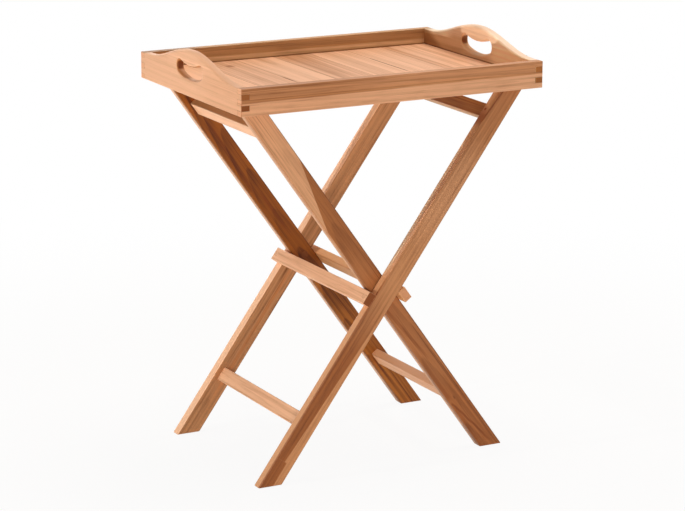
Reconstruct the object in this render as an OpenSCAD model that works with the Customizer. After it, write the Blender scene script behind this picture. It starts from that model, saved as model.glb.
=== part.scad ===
// Folding butler's tray table in teak: a box-jointed serving tray with two hand holes,
// resting on a cross-legged stand that folds flat about two hidden pivot bolts.
// X runs along the tray, Y from the front to the rear, Z up; the floor is z = 0.

/* [Tray] */
// Overall length of the tray, along X
tray_len = 620; // [560:5:700]
// Overall width of the tray, along Y
tray_wid = 430; // [380:5:500]
// Height of the tray boards' lower edge above the floor
tray_h = 700; // [620:5:760]
// Height of the tray's boards
board_h = 50; // [42:1:64]
// Thickness of the tray's boards
board_t = 16; // [12:0.5:20]
// Rows of fingers in each corner joint
finger_rows = 5; // [3:2:7]
// Thickness of the floor slats
floor_t = 10; // [7:0.5:12]
// Height of the floor's underside above the boards' lower edge
floor_lift = 10; // [6:0.5:14]
// Pitch of the slats between the two end slats
slat_pitch = 79; // [60:1:90]
// Open line between neighbouring slats
slat_gap = 0.6; // [0.3:0.1:1.5]
// Depth of the grooves that hold the floor
groove_d = 6; // [4:0.5:8]
// Clearance between glued faces
glue_gap = 0.1; // [0.05:0.01:0.2]

/* [Handles] */
// Rise of the handle's crown above the board's top edge
crown_rise = 35; // [26:1:45]
// Level length left at each end of a handle board's top edge
crown_shoulder = 9; // [2:1:30]
// Wood above the hand hole, at the crown
grip_bar = 30; // [24:1:34]
// Overall length of the hand hole
grip_len = 110; // [90:2:130]
// Height of the hand hole
grip_h = 24; // [18:1:28]
// Rise of the hand hole's ends above its middle
grip_bend = 7.5; // [4:0.5:12]

/* [Legs] */
// Width of a leg, seen from the front
leg_w = 38; // [32:1:44]
// Thickness of a leg, along Y
leg_t = 20; // [18:0.5:26]
// Height of the pivot above the floor
pivot_h = 336; // [300:2:370]
// Space between an outer leg and its inner leg
leg_gap = 4; // [2.5:0.5:6]
// Clearance from the leg tops to the handle boards
nest_gap = 1; // [0.5:0.1:5]
// Clearance from the outer legs to the long boards
side_gap = 11; // [6:1:20]
// Clearance from the leg tops to the floor slats
seat_gap = 0.3; // [0.2:0.1:0.6]

/* [Rails] */
// Width of a rail, along the leg
rail_w = 28; // [24:1:34]
// Thickness of a rail
rail_t = 16; // [12:0.5:20]
// Distance from the leg's top to the top rail, along the leg
rail_drop = 73; // [55:1:90]
// Distance from the floor to the lower stretcher, along the leg
stretcher_up = 133; // [110:1:160]
// Length of a tenon
tenon_len = 14; // [10:0.5:15]
// Width of a tenon
tenon_w = 20; // [16:0.5:22]
// Thickness of a tenon
tenon_t = 8; // [6:0.5:10]
// Diameter of the pegs through the top rails' tenons
peg_d = 6; // [4:0.5:7]
// Length of a peg
peg_len = 28; // [26:0.5:30]

/* [Stop bars] */
// Width of a stop bar, along the leg
bar_w = 26; // [24:1:34]
// Thickness of a stop bar
bar_t = 16; // [13:0.5:20]
// Clearance from a stop bar to the legs it stops
stop_gap = 0.3; // [0.2:0.1:1]
// Diameter of a stop bar screw's shank
screw_d = 4; // [3.5:0.1:5]
// Length of a screw below its head
screw_len = 30; // [26:1:34]
// Diameter of a screw's head
screw_head_d = 8; // [7:0.5:9]
// Height of a screw's head
screw_head_h = 3; // [2:0.25:3.5]
// Diameter of the plugs that cover the screws
plug_d = 10; // [9.5:0.5:12]
// Length of a plug over a screw
plug_len = 4; // [3:0.5:5]

/* [Pivots] */
// Diameter of a pivot bolt's shank
bolt_d = 8; // [6:0.5:9]
// Diameter of a pivot bolt's head
bolt_head_d = 14; // [12:0.5:16]
// Height of a pivot bolt's head
bolt_head_h = 4; // [3:0.5:5]
// Length of the plug that covers a bolt's head
bolt_plug_len = 3; // [2:0.5:4]
// Diameter of the threaded insert in an outer leg
insert_d = 13; // [12:0.5:16]
// Length of the threaded insert
insert_len = 13; // [10:0.5:15]
// Diameter of the washer between the legs
washer_d = 24; // [18:1:30]
// Clearance between pieces that turn against each other
run_gap = 0.3; // [0.2:0.05:0.5]
// Radial clearance of a bolt in its bore
bore_play = 0.08; // [0.03:0.01:0.1]

/* [Hidden] */

$fn = 64;
// Steps in the curves of a handle board's top edge and of its hand hole
crown_steps = 48;
grip_steps = 24;
end_steps = 12;
// How far a cutting tool runs past the face it cuts
over = 1;

// Tray
slat_count = 7;
half_len = tray_len / 2;
half_wid = tray_wid / 2;
in_len = half_len - board_t;
in_wid = half_wid - board_t;
finger_h = board_h / finger_rows;
floor_z = tray_h + floor_lift;
// Edges of the slats: the end slats take what the middle ones leave
slat_edges = [for (i = [0 : slat_count])
  i == 0 ? -in_len : i == slat_count ? in_len : (i - slat_count / 2) * slat_pitch];

// Hand hole: a round-ended slot bent along an arc whose centre lies above it
grip_z = tray_h + board_h + crown_rise - grip_bar - grip_h / 2;
grip_half = (grip_len - grip_h) / 2;
grip_r = (grip_half * grip_half + grip_bend * grip_bend) / (2 * grip_bend);
grip_angle = asin(grip_half / grip_r);

// Legs: they lean so that their top corners come nest_gap inside the handle boards
leg_top = floor_z - seat_gap;
top_run = in_len - nest_gap;
top_rise = leg_top - pivot_h;
lean = atan2(top_rise, top_run) + asin(leg_w / 2 / norm([top_run, top_rise]));
leg_cut = leg_w / sin(lean);
outer_y = in_wid - side_gap;
inner_y = outer_y - leg_t - leg_gap;

// Places along a leg, measured from the pivot
rail_s = top_rise / sin(lean) - rail_drop;
stretcher_s = stretcher_up - pivot_h / sin(lean);
notch_s = -leg_w / 2 / tan(lean);
bar_s = notch_s - stop_gap - bar_w / 2;

// Length of a stop bar's screw in the leg
screw_grip = screw_len - (bar_t - plug_len - screw_head_h);

// Pivot: the bolt's head lies in a recess in the inner leg's inside face
recess_d = bolt_head_h + bolt_plug_len + run_gap;
insert_y = outer_y - leg_t;

// Fold at which an inner leg meets the lower stretcher, with the same clearance
near_s = -stretcher_s - rail_w / 2;
fold_stop = 2 * (90 - lean) - asin((leg_w + rail_t + 2 * run_gap) / 2 / near_s);
echo(lean = lean, foot_half_spread = pivot_h / tan(lean) + leg_cut / 2, fold_stop = fold_stop);

teak = "#c98f5c";
teak_pale = "#e6b98a";
teak_dark = "#9c6236";
steel = "#b9bcc0";
brass = "#b8964f";

// Lays a frame's own axes over its leg: X along the leg, Z square to its edge
module on_outer() {
  translate([0, 0, pivot_h]) rotate([0, -lean, 0]) children();
}

module on_inner() {
  mirror([1, 0, 0]) on_outer() children();
}

// A box given by its two ends along each axis
module block(x, y, z) {
  translate([x[0], y[0], z[0]]) cube([x[1] - x[0], y[1] - y[0], z[1] - z[0]]);
}

// Rows of fingers from the one named first, every other row, grown by a clearance
module finger_row(first, x, y, grow) {
  for (row = [first : 2 : finger_rows - 1])
    block(x, y, [tray_h + row * finger_h - grow, tray_h + (row + 1) * finger_h + grow]);
}

// Long board at the front; the rear one is its mirror image
module long_board() {
  color(teak) difference() {
    block([-half_len, half_len], [-half_wid, -in_wid], [tray_h, tray_h + board_h]);
    for (side = [0, 1])
      mirror([side, 0, 0])
        finger_row(1, [in_len - glue_gap, half_len + over], [-half_wid - over, -in_wid + over], 0);
    block([-in_len, in_len], [-in_wid - groove_d, -in_wid + over],
      [floor_z - glue_gap, floor_z + floor_t + glue_gap]);
  }
}

function crown(y, reach) =
  abs(y) >= reach ? 0 : crown_rise * (1 + cos(180 * y / reach)) / 2;

// Outline of a handle board between the long boards, as Y and Z
module handle_outline() {
  reach = in_wid - crown_shoulder;
  edge = in_wid - glue_gap;
  top = [for (i = [0 : crown_steps])
    let (y = reach * (1 - 2 * i / crown_steps)) [y, tray_h + board_h + crown(y, reach)]];
  polygon(concat([[-edge, tray_h + board_h], [-edge, tray_h], [edge, tray_h],
    [edge, tray_h + board_h]], top));
}

// Points of an arc about a centre, angles counted from straight down towards +Y
function arc(centre, r, from, to, steps) =
  [for (i = [0 : steps])
    let (a = from + (to - from) * i / steps) centre + r * [sin(a), -cos(a)]];

// Outline of the hand hole, as Y and Z
module grip_slot() {
  middle = [0, grip_z + grip_r];
  end = [for (side = [-1, 1]) middle + grip_r * [side * sin(grip_angle), -cos(grip_angle)]];
  half = grip_h / 2;
  polygon(concat(
    arc(middle, grip_r + half, -grip_angle, grip_angle, grip_steps),
    arc(end[1], half, grip_angle + 180 / end_steps, grip_angle + 180 - 180 / end_steps, end_steps - 2),
    arc(middle, grip_r - half, grip_angle, -grip_angle, grip_steps),
    arc(end[0], half, 180 - grip_angle + 180 / end_steps, 360 - grip_angle - 180 / end_steps,
      end_steps - 2)));
}

// Handle board at the right end; the left one is its mirror image
module handle_board() {
  color(teak_pale) difference() {
    union() {
      translate([in_len, 0, 0]) rotate([90, 0, 90]) linear_extrude(board_t) handle_outline();
      finger_row(1, [in_len, half_len], [-half_wid, half_wid], -glue_gap);
    }
    translate([in_len - over, 0, 0]) rotate([90, 0, 90])
      linear_extrude(board_t + 2 * over) grip_slot();
    block([in_len - over, in_len + groove_d], [-in_wid, in_wid],
      [floor_z - glue_gap, floor_z + floor_t + glue_gap]);
  }
}

// One slat, held at its ends by the long boards and, at the tray's ends, by a handle board
module slat(i) {
  first = i == 0;
  last = i == slat_count - 1;
  x0 = slat_edges[i] + (first ? glue_gap : slat_gap / 2);
  x1 = slat_edges[i + 1] - (last ? glue_gap : slat_gap / 2);
  reach = in_wid + groove_d - glue_gap;
  tongue = in_len + groove_d - glue_gap;
  color(teak_pale) {
    block([x0, x1], [-reach, reach], [floor_z, floor_z + floor_t]);
    if (first || last)
      block([first ? -tongue : x0, last ? tongue : x1], [glue_gap - in_wid, in_wid - glue_gap],
        [floor_z, floor_z + floor_t]);
  }
}

// Leg of the frame that leans right, cut level at the floor and under the tray
module leg_blank(y) {
  foot = -pivot_h / tan(lean);
  head = top_rise / tan(lean);
  translate([0, y + leg_t, 0]) rotate([90, 0, 0]) linear_extrude(leg_t)
    polygon([[foot - leg_cut / 2, 0], [foot + leg_cut / 2, 0],
      [head + leg_cut / 2, leg_top], [head - leg_cut / 2, leg_top]]);
}

// Mortises, peg hole and screw hole of one leg whose inside face is at y, in the leg's axes
module joinery(y, rear) {
  mirror([0, rear ? 1 : 0, 0]) {
    for (s = [rail_s, stretcher_s])
      block([s - tenon_w / 2 - glue_gap, s + tenon_w / 2 + glue_gap],
        [-y - tenon_len - glue_gap, -y + over],
        [-tenon_t / 2 - glue_gap, tenon_t / 2 + glue_gap]);
    translate([rail_s, -y - tenon_len / 2, leg_w / 2 - peg_len - glue_gap])
      cylinder(d = peg_d + 2 * glue_gap, h = peg_len + glue_gap + over);
    translate([bar_s, -y - leg_t / 2, leg_w / 2 - screw_grip - glue_gap])
      cylinder(d = screw_d + 2 * glue_gap, h = screw_grip + glue_gap + over);
  }
}

// Outer leg, with a blind hole for the threaded insert in its inside face
module outer_leg(rear) {
  inside = outer_y - leg_t;
  color(teak) difference() {
    leg_blank(rear ? inside : -outer_y);
    on_outer() joinery(inside, rear);
    mirror([0, rear ? 1 : 0, 0])
      translate([0, -inside + over, pivot_h]) rotate([90, 0, 0])
        cylinder(d = insert_d + 2 * glue_gap, h = insert_len + glue_gap + over);
  }
}

// Inner leg, with the bolt's running bore and the recess for its head
module inner_leg(rear) {
  inside = inner_y - leg_t;
  color(teak) difference() {
    mirror([1, 0, 0]) leg_blank(rear ? inside : -inner_y);
    on_inner() joinery(inside, rear);
    mirror([0, rear ? 1 : 0, 0]) translate([0, 0, pivot_h]) {
      translate([0, -inside + over, 0]) rotate([90, 0, 0])
        cylinder(d = bolt_head_d + 2 * run_gap, h = recess_d + over);
      translate([0, -inside, 0]) rotate([90, 0, 0])
        cylinder(r = bolt_d / 2 + bore_play, h = leg_t + over);
    }
  }
}

// Rail between two legs' inside faces at y, with a tenon at each end
module rail(s, y, pegged) {
  color(teak_pale) difference() {
    union() {
      block([s - rail_w / 2, s + rail_w / 2], [glue_gap - y, y - glue_gap], [-rail_t / 2, rail_t / 2]);
      block([s - tenon_w / 2, s + tenon_w / 2], [-y - tenon_len, y + tenon_len],
        [-tenon_t / 2, tenon_t / 2]);
    }
    if (pegged)
      for (side = [-1, 1])
        translate([s, side * (y + tenon_len / 2), -tenon_t])
          cylinder(d = peg_d + 2 * glue_gap, h = 2 * tenon_t);
  }
}

module pegs(y) {
  color(teak_dark)
    for (side = [-1, 1])
      translate([rail_s, side * (y + tenon_len / 2), leg_w / 2 - peg_len])
        cylinder(d = peg_d, h = peg_len);
}

// Stop bar on the legs' edge just under the crossing, screwed at both ends
module stop_bar(screw_y) {
  color(teak_pale) difference() {
    block([bar_s - bar_w / 2, bar_s + bar_w / 2], [-outer_y, outer_y],
      [leg_w / 2 + glue_gap, leg_w / 2 + bar_t]);
    for (side = [-1, 1])
      translate([bar_s, side * screw_y, 0]) {
        cylinder(d = screw_d + 2 * glue_gap, h = leg_w / 2 + bar_t);
        translate([0, 0, leg_w / 2 + bar_t - plug_len - screw_head_h - glue_gap])
          cylinder(d = plug_d + 2 * glue_gap, h = plug_len + screw_head_h + glue_gap + over);
      }
  }
}

module bar_screws(screw_y) {
  color(brass)
    for (side = [-1, 1])
      translate([bar_s, side * screw_y, leg_w / 2 - screw_grip]) {
        cylinder(d = screw_d, h = screw_len + screw_head_h);
        translate([0, 0, screw_len]) cylinder(d = screw_head_d, h = screw_head_h - glue_gap);
      }
}

module bar_plugs(screw_y) {
  color(teak_dark)
    for (side = [-1, 1])
      translate([bar_s, side * screw_y, leg_w / 2 + bar_t - plug_len])
        cylinder(d = plug_d, h = plug_len);
}

// The pivot's pieces at the front, all round the same axis; the rear ones are mirror images
module pivot_part(from_y, to_y, d, bore) {
  translate([0, from_y, pivot_h]) rotate([90, 0, 0]) difference() {
    cylinder(d = d, h = from_y - to_y);
    if (bore > 0) translate([0, 0, -over]) cylinder(d = bore, h = from_y - to_y + 2 * over);
  }
}

module pivot_bolt() {
  head_y = leg_t - inner_y - bolt_plug_len;
  color(steel) {
    pivot_part(head_y, head_y - bolt_head_h, bolt_head_d, 0);
    pivot_part(head_y - bolt_head_h / 2, -insert_y - insert_len, bolt_d, 0);
  }
}

module pivot_insert() {
  color(brass) pivot_part(-insert_y, -insert_y - insert_len, insert_d, bolt_d + 2 * glue_gap);
}

module pivot_washer() {
  color(steel)
    pivot_part(-inner_y - run_gap, -insert_y, washer_d, bolt_d + 2 * glue_gap);
}

module pivot_plug() {
  color(teak_dark)
    pivot_part(leg_t - inner_y, leg_t - inner_y - bolt_plug_len + run_gap,
      bolt_head_d + 2 * run_gap - 2 * glue_gap, 0);
}

module to_rear() {
  mirror([0, 1, 0]) children();
}

module front_board() { long_board(); }
module rear_board() { to_rear() long_board(); }
module left_handle_board() { mirror([1, 0, 0]) handle_board(); }
module right_handle_board() { handle_board(); }

module outer_front_leg() { outer_leg(false); }
module outer_rear_leg() { outer_leg(true); }
module outer_top_rail() { on_outer() rail(rail_s, insert_y, true); }
module outer_stretcher() { on_outer() rail(stretcher_s, insert_y, false); }
module outer_stop_bar() { on_outer() stop_bar(outer_y - leg_t / 2); }
module outer_bar_screws() { on_outer() bar_screws(outer_y - leg_t / 2); }
module outer_bar_plugs() { on_outer() bar_plugs(outer_y - leg_t / 2); }
module outer_rail_pegs() { on_outer() pegs(insert_y); }

module inner_front_leg() { inner_leg(false); }
module inner_rear_leg() { inner_leg(true); }
module inner_top_rail() { on_inner() rail(rail_s, inner_y - leg_t, true); }
module inner_stretcher() { on_inner() rail(stretcher_s, inner_y - leg_t, false); }
module inner_stop_bar() { on_inner() stop_bar(inner_y - leg_t / 2); }
module inner_bar_screws() { on_inner() bar_screws(inner_y - leg_t / 2); }
module inner_bar_plugs() { on_inner() bar_plugs(inner_y - leg_t / 2); }
module inner_rail_pegs() { on_inner() pegs(inner_y - leg_t); }

front_board();
rear_board();
left_handle_board();
right_handle_board();
slat(0);  // slat_1
slat(1);  // slat_2
slat(2);  // slat_3
slat(3);  // slat_4
slat(4);  // slat_5
slat(5);  // slat_6
slat(6);  // slat_7
outer_front_leg();
outer_rear_leg();
outer_top_rail();
outer_stretcher();
outer_stop_bar();
outer_bar_screws();
outer_bar_plugs();
outer_rail_pegs();
inner_front_leg();
inner_rear_leg();
inner_top_rail();
inner_stretcher();
inner_stop_bar();
inner_bar_screws();
inner_bar_plugs();
inner_rail_pegs();
pivot_bolt();  // front_pivot_bolt
to_rear() pivot_bolt();  // rear_pivot_bolt
pivot_insert();  // front_pivot_insert
to_rear() pivot_insert();  // rear_pivot_insert
pivot_washer();  // front_pivot_washer
to_rear() pivot_washer();  // rear_pivot_washer
pivot_plug();  // front_pivot_plug
to_rear() pivot_plug();  // rear_pivot_plug
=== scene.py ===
import math

import bmesh
import bpy
from mathutils import Matrix, Vector


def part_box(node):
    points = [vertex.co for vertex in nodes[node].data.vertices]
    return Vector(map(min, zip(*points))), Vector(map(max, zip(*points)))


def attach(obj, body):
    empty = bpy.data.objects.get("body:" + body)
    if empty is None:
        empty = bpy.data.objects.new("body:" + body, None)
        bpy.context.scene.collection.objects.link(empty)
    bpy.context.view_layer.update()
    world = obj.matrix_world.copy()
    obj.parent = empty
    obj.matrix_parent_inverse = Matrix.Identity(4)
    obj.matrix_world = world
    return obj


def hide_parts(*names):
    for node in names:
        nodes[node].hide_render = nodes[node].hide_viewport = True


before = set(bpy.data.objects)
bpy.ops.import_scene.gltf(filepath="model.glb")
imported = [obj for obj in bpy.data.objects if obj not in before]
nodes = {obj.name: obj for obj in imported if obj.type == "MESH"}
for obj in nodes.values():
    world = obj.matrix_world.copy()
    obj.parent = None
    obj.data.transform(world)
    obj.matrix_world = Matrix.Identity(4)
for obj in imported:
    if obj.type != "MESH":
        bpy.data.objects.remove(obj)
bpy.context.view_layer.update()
print("frame loaded,", len(nodes), "nodes")

scene = bpy.context.scene
scene.view_settings.view_transform = "Standard"

# The photograph's own view, worked out from the corners of the tray and of the legs
camera = {
    "place": (-2.3373, -4.3868, 1.6340),
    "turn": 28.113,  # degrees from +Y towards +X
    "tip": -14.304,  # degrees above the horizon
    "roll": 0.211,
    "focalPixels": 2702.5,
    "pictureWidth": 685,
    "sensor": 36.0,
    "clip": (0.1, 80),
}


def addObject(name, data):
    made = bpy.data.objects.new(name, data)
    scene.collection.objects.link(made)
    return made


def makeCamera():
    data = bpy.data.cameras.new("camera")
    data.sensor_width = camera["sensor"]
    data.lens = camera["focalPixels"] * camera["sensor"] / camera["pictureWidth"]
    data.clip_start, data.clip_end = camera["clip"]
    made = addObject("camera", data)
    turn = Matrix.Rotation(math.radians(-camera["turn"]), 4, "Z")
    tip = Matrix.Rotation(math.radians(90 + camera["tip"]), 4, "X")
    roll = Matrix.Rotation(math.radians(camera["roll"]), 4, "Z")
    made.matrix_world = Matrix.Translation(camera["place"]) @ turn @ tip @ roll
    scene.camera = made


makeCamera()
print("camera in place")


# Small helpers for node trees
def paint(code):  # "c98f5c" as a linear colour
    parts = [int(code[i : i + 2], 16) / 255 for i in (0, 2, 4)]
    linear = [c / 12.92 if c <= 0.04045 else ((c + 0.055) / 1.055) ** 2.4 for c in parts]
    return (*linear, 1.0)


def wire(tree, socket, value):
    if isinstance(value, bpy.types.NodeSocket):
        tree.links.new(value, socket)
    else:
        socket.default_value = value


def addNode(tree, kind, inputs=None, **settings):
    made = tree.nodes.new(kind)
    for key, value in settings.items():
        setattr(made, key, value)
    for key, value in (inputs or {}).items():
        wire(tree, made.inputs[key], value)
    return made


def out(tree, kind, inputs=None, **settings):  # a new node's first output
    return addNode(tree, kind, inputs, **settings).outputs[0]


def calc(tree, operation, *values, clamp=False):
    return out(tree, "ShaderNodeMath", dict(enumerate(values)), operation=operation, use_clamp=clamp)


def times(tree, first, second):
    return calc(tree, "MULTIPLY", first, second)


def minus(tree, first, second):
    return calc(tree, "SUBTRACT", first, second)


def timesPlus(tree, first, second, added):
    return calc(tree, "MULTIPLY_ADD", first, second, added)


def xyz(tree, x, y, z):
    return out(tree, "ShaderNodeCombineXYZ", {"X": x, "Y": y, "Z": z})


def vectorCalc(tree, operation, *values):
    made = addNode(tree, "ShaderNodeVectorMath", dict(enumerate(values)), operation=operation)
    return made.outputs["Value" if operation == "LENGTH" else "Vector"]


# A smooth change from start to end between low and high
def fade(tree, value, low, high, start=0.0, end=1.0):
    inputs = {"Value": value, "From Min": low, "From Max": high, "To Min": start, "To Max": end}
    return addNode(tree, "ShaderNodeMapRange", inputs, interpolation_type="SMOOTHSTEP").outputs["Result"]


def mixColour(tree, share, first, second, mode="MIX"):
    inputs = {0: share, 6: first, 7: second}
    return addNode(tree, "ShaderNodeMix", inputs, data_type="RGBA", blend_type=mode).outputs[2]


def stretchedNoise(tree, place, stretch, detail=2.0, rough=0.5):  # cells per metre along each axis
    scaled = vectorCalc(tree, "MULTIPLY", place, stretch)
    inputs = {"Vector": scaled, "Scale": 1.0, "Detail": detail, "Roughness": rough}
    return out(tree, "ShaderNodeTexNoise", inputs)


def addSocket(tree, label, kind, way="INPUT"):
    return tree.interface.new_socket(label, in_out=way, socket_type="NodeSocket" + kind)


def startGroup(name, values, results):  # a number, three numbers or four give an input its kind
    tree = bpy.data.node_groups.new(name, "ShaderNodeTree")
    for label, value in values.items():
        kind = "Float" if isinstance(value, float) else {3: "Vector", 4: "Color"}[len(value)]
        addSocket(tree, label, kind).default_value = value
    for label, kind in results.items():
        addSocket(tree, label, kind, "OUTPUT")
    return tree, addNode(tree, "NodeGroupInput").outputs


# Teak as solid wood. Place is in metres, X along the grain, Y across the stick's wide face, Z out of it
teakInputs = {
    "Place": (0, 0, 0),
    "Facing": (0, 0, 1),
    "Seed": 0.0,
    "Pale": paint("e2a878"),
    "Brown": paint("b87848"),
    "Streaks": 0.5,
    "Fineness": 1.0,
    "Streak Rough": 0.72,
    "Lines": 0.5,
    "Flecks": 0.22,
    "Rings": 0.25,
    "Ring Width": 0.0065,
    "Pith": (0, 0.07, 0.11),
    "Pith Tilt": 0.012,
    "Wander": 0.006,
    "Knot": (0, 0, 0),
    "Knot Size": 0.00001,
    "Slat Spread": 0.0,
    "Side Dark": 0.0,
    "End Tone": (0.6, 0.47, 0.38, 1),
}


# Its layers: cells per metre along, across and into the stick, then detail and roughness
layers = {
    "wander": ((1.1, 9, 9), 2.0),
    "streaks": ((0.8, 130, 130), 5.0),  # each stick gives the roughness
    "broad": ((0.9, 30, 30), 2.0),
    "lines": ((0.55, 260, 260), 2.0, 0.6),
    "breaks": ((7, 60, 60), 2.0),
    "flecks": ((13, 210, 210), 2.0, 0.55),
    "fibres": ((24, 950, 950), 2.0, 0.6),
    "pores": ((75, 1500, 1500), 1.0),
    "rubs": ((30, 90, 90), 2.0),
    "markStreaks": ((1.6, 190, 190), 3.0, 0.6),
}
# Between these two levels of its noise a layer comes in
levels = {
    "lines": (0.52, 0.70),
    "breaks": (0.3, 0.62),
    "flecks": (0.50, 0.72),
    "pores": (0.62, 0.72),
    "rubs": (0.35, 0.6),
    "markStreaks": (0.40, 0.60),
}
figure = {
    "knotStretch": (0.38, 1.0, 0.3),
    "knotPull": 0.72,
    "knotCore": (0.04, 0.22),  # shares of the knot's size
    "knotDark": 0.45,
    "knotColour": "5a2f16",
    "slatStep": 3.7,  # between the patterns of neighbouring slats
    "seedStep": (0.83, 1.37, 2.11),
    "lateWood": (0.15, 0.93),  # the darkening part of a growth ring
    "ringDepth": (0.8, 0.2),  # the share that differs from ring to ring, and the least
    "ringMean": 0.3,
    "brown": 0.27,  # share of brown before the layers change it
    "streakPower": 3.2,
    "broadPower": 1.6,
    "sideFacing": (0.99, 0.75),  # from a wide face to a narrow side, by the normal's Z
    "endFacing": (0.6, 0.92),  # from a side to end grain, by the normal's X
    "sideBrown": 0.22,  # narrow sides show less figure and come near this share
    "sideCalm": 0.8,
    "sideColour": "5a3019",
    "fibreTone": 0.11,
    # rubbed, lighter rounded edges: wear, and partly a painted highlight along the arrises
    "rubbedAndHighlightShare": 0.12,
    "rubbedAndHighlightColour": "f3c79c",
    "glueShare": 0.4,
    "glueColour": "4a2612",
    "roughness": 0.42,
    "fibreRough": 0.14,
    "brownRough": 0.06,
    "endRough": 0.15,
    "fibreHeight": 0.8,
    "poreHeight": -0.9,
    "lineHeight": -0.35,
}


def makeTeakGroup():
    tree, given = startGroup("teak", teakInputs, {"Colour": "Color", "Roughness": "Float", "Height": "Float"})
    slat, ease, seam = (addNode(tree, "ShaderNodeAttribute", attribute_name=name).outputs["Fac"]
        for name in ("slat", "ease", "seam"))

    def layer(name, at, *rough):
        noise = stretchedNoise(tree, at, *layers[name], *rough)
        return fade(tree, noise, *levels[name]) if name in levels else noise

    # Lines bulge round the knot
    fromKnot = vectorCalc(tree, "SUBTRACT", given["Place"], given["Knot"])
    knotReach = vectorCalc(tree, "LENGTH", vectorCalc(tree, "MULTIPLY", fromKnot, figure["knotStretch"]))
    knotShare = calc(tree, "DIVIDE", knotReach, given["Knot Size"])
    knotPull = fade(tree, knotShare, 0.0, 1.0, figure["knotPull"], 0.0)
    knotDark = fade(tree, knotShare, *figure["knotCore"], 1.0, 0.0)
    pulled = {0: knotPull, 4: given["Place"], 5: given["Knot"]}
    pulled = addNode(tree, "ShaderNodeMix", pulled, data_type="VECTOR").outputs[1]
    slatSeed = timesPlus(tree, slat, figure["slatStep"], given["Seed"])
    seeds = xyz(tree, slatSeed, slatSeed, slatSeed)
    place = vectorCalc(tree, "ADD", pulled, vectorCalc(tree, "MULTIPLY", seeds, figure["seedStep"]))
    parts = addNode(tree, "ShaderNodeSeparateXYZ", {"Vector": pulled}).outputs

    # Growth rings about a pith beside the stick
    wander = minus(tree, layer("wander", place), 0.5)
    fromPith = vectorCalc(tree, "SUBTRACT", pulled, given["Pith"])
    tilted = times(tree, parts["X"], given["Pith Tilt"])
    sideways = xyz(tree, 0.0, tilted, tilted)
    flat = vectorCalc(tree, "MULTIPLY", vectorCalc(tree, "ADD", fromPith, sideways), (0.0, 1.0, 1.0))
    radius = timesPlus(tree, wander, given["Wander"], vectorCalc(tree, "LENGTH", flat))
    turns = calc(tree, "DIVIDE", radius, given["Ring Width"])
    ring = calc(tree, "FRACT", turns)
    ringNumber = calc(tree, "ADD", calc(tree, "FLOOR", turns), slatSeed)
    ringDepth = out(tree, "ShaderNodeTexWhiteNoise", {"W": ringNumber}, noise_dimensions="1D")
    lateStart, lateEnd = figure["lateWood"]
    ringEnd = fade(tree, ring, lateEnd, 1.0, 1.0, 0.0)
    lateWood = times(tree, fade(tree, ring, lateStart, lateEnd), ringEnd)
    line = times(tree, lateWood, timesPlus(tree, ringDepth, *figure["ringDepth"]))

    # Long streaks, broad colour, fine fibres and pores
    fine = given["Fineness"]
    scale = xyz(tree, 1.0, fine, fine)
    scaledPlace = vectorCalc(tree, "MULTIPLY", place, scale)
    streak = minus(tree, layer("streaks", scaledPlace, given["Streak Rough"]), 0.5)
    broad = minus(tree, layer("broad", place), 0.5)
    thin = times(tree, layer("lines", scaledPlace), layer("breaks", place))
    flecks = layer("flecks", place)
    fibre = layer("fibres", place)
    pores = layer("pores", place)
    streakPower = times(tree, given["Streaks"], figure["streakPower"])
    broadPower = times(tree, given["Streaks"], figure["broadPower"])
    mixed = timesPlus(tree, streak, streakPower, figure["brown"])
    mixed = timesPlus(tree, broad, broadPower, mixed)
    mixed = timesPlus(tree, minus(tree, line, figure["ringMean"]), given["Rings"], mixed)
    mixed = timesPlus(tree, thin, given["Lines"], mixed)
    mixed = timesPlus(tree, flecks, given["Flecks"], mixed)
    slatTone = out(tree, "ShaderNodeTexWhiteNoise", {"W": slatSeed}, noise_dimensions="1D")
    slatShift = times(tree, minus(tree, slatTone, 0.5), given["Slat Spread"])
    mixed = calc(tree, "ADD", mixed, slatShift, clamp=True)
    facing = addNode(tree, "ShaderNodeSeparateXYZ", {"Vector": given["Facing"]}).outputs
    wide, narrow = figure["sideFacing"]
    sideShare = fade(tree, calc(tree, "ABSOLUTE", facing["Z"]), narrow, wide, 1.0, 0.0)
    calm = times(tree, sideShare, minus(tree, figure["sideBrown"], mixed))
    mixed = timesPlus(tree, calm, figure["sideCalm"], mixed)
    colour = mixColour(tree, mixed, given["Pale"], given["Brown"])

    # Knot, fibres and pores, end grain, rubbed edges that also carry a painted highlight, and glue lines
    def coat(share, power, code):
        return mixColour(tree, times(tree, share, power), colour, paint(code))

    colour = coat(knotDark, figure["knotDark"], figure["knotColour"])
    fibreTone = timesPlus(tree, fibre, figure["fibreTone"], 1 - figure["fibreTone"] / 2)
    fibreTone = timesPlus(tree, pores, -figure["fibreTone"], fibreTone)
    colour = out(tree, "ShaderNodeVectorMath", {0: colour, "Scale": fibreTone}, operation="SCALE")
    endShare = fade(tree, calc(tree, "ABSOLUTE", facing["X"]), *figure["endFacing"])
    colour = mixColour(tree, endShare, colour, mixColour(tree, 1.0, colour, given["End Tone"], "MULTIPLY"))
    colour = coat(sideShare, given["Side Dark"], figure["sideColour"])
    # rubbed edges, partly a painted highlight
    colour = coat(times(tree, ease, layer("rubs", place)), figure["rubbedAndHighlightShare"], figure["rubbedAndHighlightColour"])
    colour = coat(seam, figure["glueShare"], figure["glueColour"])

    rough = timesPlus(tree, fibre, figure["fibreRough"], figure["roughness"])
    rough = timesPlus(tree, mixed, figure["brownRough"], rough)
    rough = timesPlus(tree, endShare, figure["endRough"], rough)
    height = timesPlus(tree, pores, figure["poreHeight"], times(tree, fibre, figure["fibreHeight"]))
    height = timesPlus(tree, line, figure["lineHeight"], height)
    height = times(tree, height, minus(tree, 1.0, sideShare))  # narrow sides are smooth
    addNode(tree, "NodeGroupOutput", {"Colour": colour, "Roughness": rough, "Height": height})
    return tree


teakGroup = makeTeakGroup()
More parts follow.
